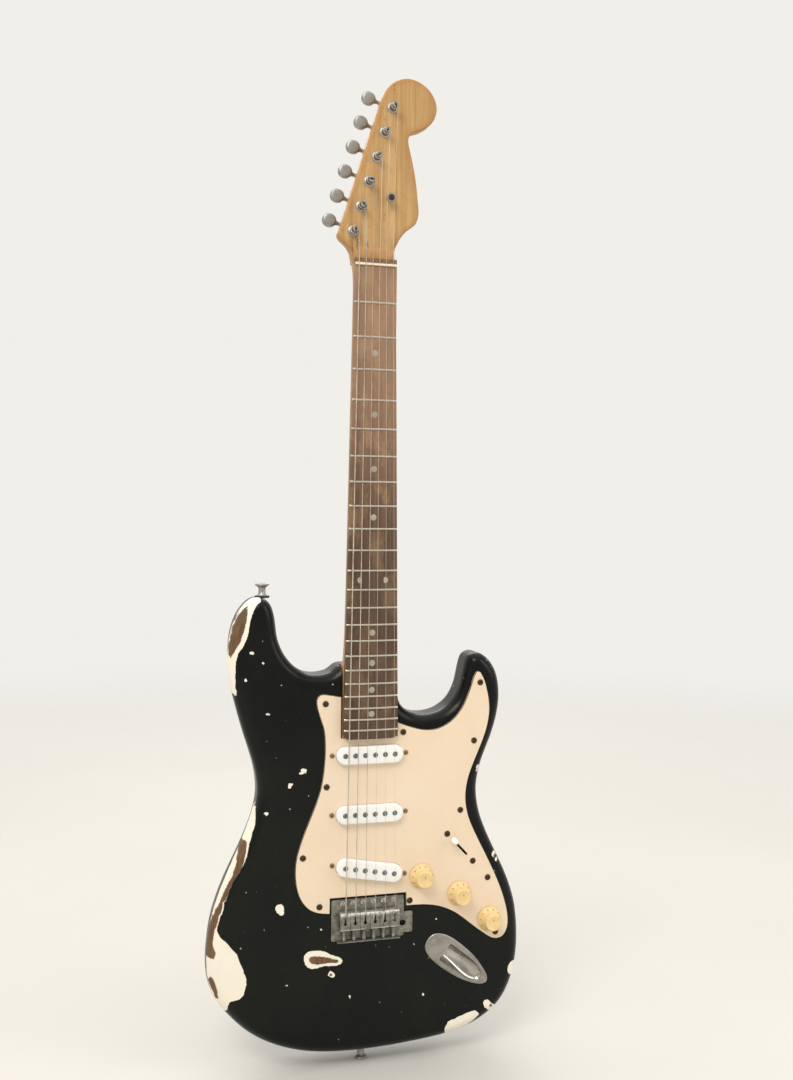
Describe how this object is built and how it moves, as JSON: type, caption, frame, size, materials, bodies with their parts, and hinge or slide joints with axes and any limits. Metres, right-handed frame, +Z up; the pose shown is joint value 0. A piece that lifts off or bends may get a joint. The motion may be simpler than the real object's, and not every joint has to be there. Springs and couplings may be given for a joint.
{
  "type": "electric guitar",
  "caption": "Solid-body electric guitar with offset double cutaways, bolt-on neck, pickguard, single-coil pickups, tremolo bridge and in-line tuners, worn black finish.",
  "frame": {"origin": "centre of the end strap button's outer flat face", "axes": "+Z up the neck towards the headstock, strings facing -Y, +X to the treble side"},
  "size_m": [0.3293, 0.065, 1.0073],
  "materials": {
    "black_lacquer": "worn black lacquer over alder",
    "maple": "aged amber gloss lacquer on maple",
    "rosewood": "oiled rosewood",
    "bone": "satin",
    "guard_plastic": "satin, three layers",
    "white_plastic": "satin gloss",
    "cream_plastic": "aged satin gloss",
    "dull_steel": "dull",
    "spring_steel": "bright drawn wire",
    "aged_nickel": "dull aged nickel plate",
    "nickel": "worn nickel plate",
    "string_steel": "plain and wound steel"
  },
  "bodies": {
    "instrument": {"body": "black_lacquer", "neck": "maple", "fingerboard": "rosewood", "nut": "bone", "pickguard": "guard_plastic", "tremolo_cover": "guard_plastic", "neck_pickup_cover": "white_plastic", "middle_pickup_cover": "white_plastic", "bridge_pickup_cover": "white_plastic", "neck_pickup_coil": "dull_steel", "middle_pickup_coil": "dull_steel", "bridge_pickup_coil": "dull_steel", "potentiometers_on_shield": "dull_steel", "selector_switch": "dull_steel", "spring_claw": "dull_steel", "tremolo_spring_1": "spring_steel", "tremolo_spring_2": "spring_steel", "tremolo_spring_3": "spring_steel", "jack_plate": "aged_nickel", "output_jack": "nickel", "end_strap_button": "nickel", "horn_strap_button": "nickel", "neck_plate": "nickel", "string_tree": "nickel", "tuner_housing_6": "nickel", "tuner_housing_5": "nickel", "tuner_housing_4": "nickel", "tuner_housing_3": "nickel", "tuner_housing_2": "nickel", "tuner_housing_1": "nickel", "string_6": "string_steel", "string_5": "string_steel", "string_4": "string_steel", "string_3": "string_steel", "string_2": "string_steel", "string_1": "string_steel"},
    "bridge": {"bridge_plate": "aged_nickel", "tremolo_block": "dull_steel", "saddle_6": "aged_nickel", "saddle_5": "aged_nickel", "saddle_4": "aged_nickel", "saddle_3": "aged_nickel", "saddle_2": "aged_nickel", "saddle_1": "aged_nickel"},
    "volume": {"volume_knob": "cream_plastic"},
    "tone_neck": {"tone_neck_knob": "cream_plastic"},
    "tone_middle": {"tone_middle_knob": "cream_plastic"},
    "selector": {"selector_lever": "white_plastic"},
    "tuner_button_6": {"tuner_button_6": "nickel"},
    "tuner_post_6": {"tuner_post_6": "nickel"},
    "tuner_button_5": {"tuner_button_5": "nickel"},
    "tuner_post_5": {"tuner_post_5": "nickel"},
    "tuner_button_4": {"tuner_button_4": "nickel"},
    "tuner_post_4": {"tuner_post_4": "nickel"},
    "tuner_button_3": {"tuner_button_3": "nickel"},
    "tuner_post_3": {"tuner_post_3": "nickel"},
    "tuner_button_2": {"tuner_button_2": "nickel"},
    "tuner_post_2": {"tuner_post_2": "nickel"},
    "tuner_button_1": {"tuner_button_1": "nickel"},
    "tuner_post_1": {"tuner_post_1": "nickel"}
  },
  "joints": [
    {"name": "tremolo_tilt", "type": "hinge", "parent": "instrument", "child": "bridge", "pos_m": [0, -0.02255, 0.1745], "axis": [-1, 0, 0], "range_deg": [0, 7], "stiffness_Nm_per_rad": 14, "springref_deg": -2.86, "deforming": ["string_6", "string_5", "string_4", "string_3", "string_2", "string_1", "tremolo_spring_1", "tremolo_spring_2", "tremolo_spring_3"]},
    {"name": "volume_turn", "type": "hinge", "parent": "instrument", "child": "volume", "pos_m": [0.0567, -0.02515, 0.1939], "axis": [0, -1, 0], "range_deg": [-150, 150]},
    {"name": "tone_neck_turn", "type": "hinge", "parent": "instrument", "child": "tone_neck", "pos_m": [0.0982, -0.02515, 0.1726], "axis": [0, -1, 0], "range_deg": [-150, 150]},
    {"name": "tone_middle_turn", "type": "hinge", "parent": "instrument", "child": "tone_middle", "pos_m": [0.1317, -0.02515, 0.1431], "axis": [0, -1, 0], "range_deg": [-150, 150]},
    {"name": "selector_swing", "type": "hinge", "parent": "instrument", "child": "selector", "pos_m": [0.09885, -0.011, 0.22075], "axis": [0.7281, 0, 0.6855], "range_deg": [0, 60]},
    {"name": "tuner_button_6_turn", "type": "hinge", "parent": "instrument", "child": "tuner_button_6", "pos_m": [-0.01939, -0.0024, 0.85668], "axis": [-0.9537, 0, 0.3009], "continuous": true},
    {"name": "tuner_post_6_turn", "type": "hinge", "parent": "instrument", "child": "tuner_post_6", "pos_m": [-0.0215, -0.02, 0.85], "axis": [0, -1, 0], "continuous": true},
    {"name": "tuner_button_5_turn", "type": "hinge", "parent": "instrument", "child": "tuner_button_5", "pos_m": [-0.01144, -0.0024, 0.88188], "axis": [-0.9537, 0, 0.3009], "continuous": true},
    {"name": "tuner_post_5_turn", "type": "hinge", "parent": "instrument", "child": "tuner_post_5", "pos_m": [-0.01355, -0.02, 0.8752], "axis": [0, -1, 0], "continuous": true},
    {"name": "tuner_button_4_turn", "type": "hinge", "parent": "instrument", "child": "tuner_button_4", "pos_m": [-0.00349, -0.0024, 0.90708], "axis": [-0.9537, 0, 0.3009], "continuous": true},
    {"name": "tuner_post_4_turn", "type": "hinge", "parent": "instrument", "child": "tuner_post_4", "pos_m": [-0.0056, -0.02, 0.9004], "axis": [0, -1, 0], "continuous": true},
    {"name": "tuner_button_3_turn", "type": "hinge", "parent": "instrument", "child": "tuner_button_3", "pos_m": [0.00446, -0.0024, 0.93228], "axis": [-0.9537, 0, 0.3009], "continuous": true},
    {"name": "tuner_post_3_turn", "type": "hinge", "parent": "instrument", "child": "tuner_post_3", "pos_m": [0.00235, -0.02, 0.9256], "axis": [0, -1, 0], "continuous": true},
    {"name": "tuner_button_2_turn", "type": "hinge", "parent": "instrument", "child": "tuner_button_2", "pos_m": [0.01241, -0.0024, 0.95748], "axis": [-0.9537, 0, 0.3009], "continuous": true},
    {"name": "tuner_post_2_turn", "type": "hinge", "parent": "instrument", "child": "tuner_post_2", "pos_m": [0.0103, -0.02, 0.9508], "axis": [0, -1, 0], "continuous": true},
    {"name": "tuner_button_1_turn", "type": "hinge", "parent": "instrument", "child": "tuner_button_1", "pos_m": [0.02036, -0.0024, 0.98268], "axis": [-0.9537, 0, 0.3009], "continuous": true},
    {"name": "tuner_post_1_turn", "type": "hinge", "parent": "instrument", "child": "tuner_post_1", "pos_m": [0.01825, -0.02, 0.976], "axis": [0, -1, 0], "continuous": true}
  ],
  "couplings": [
    {"joint": "tuner_post_6_turn", "follows": "tuner_button_6_turn", "ratio": 0.066667},
    {"joint": "tuner_post_5_turn", "follows": "tuner_button_5_turn", "ratio": 0.066667},
    {"joint": "tuner_post_4_turn", "follows": "tuner_button_4_turn", "ratio": 0.066667},
    {"joint": "tuner_post_3_turn", "follows": "tuner_button_3_turn", "ratio": 0.066667},
    {"joint": "tuner_post_2_turn", "follows": "tuner_button_2_turn", "ratio": 0.066667},
    {"joint": "tuner_post_1_turn", "follows": "tuner_button_1_turn", "ratio": 0.066667}
  ]
}
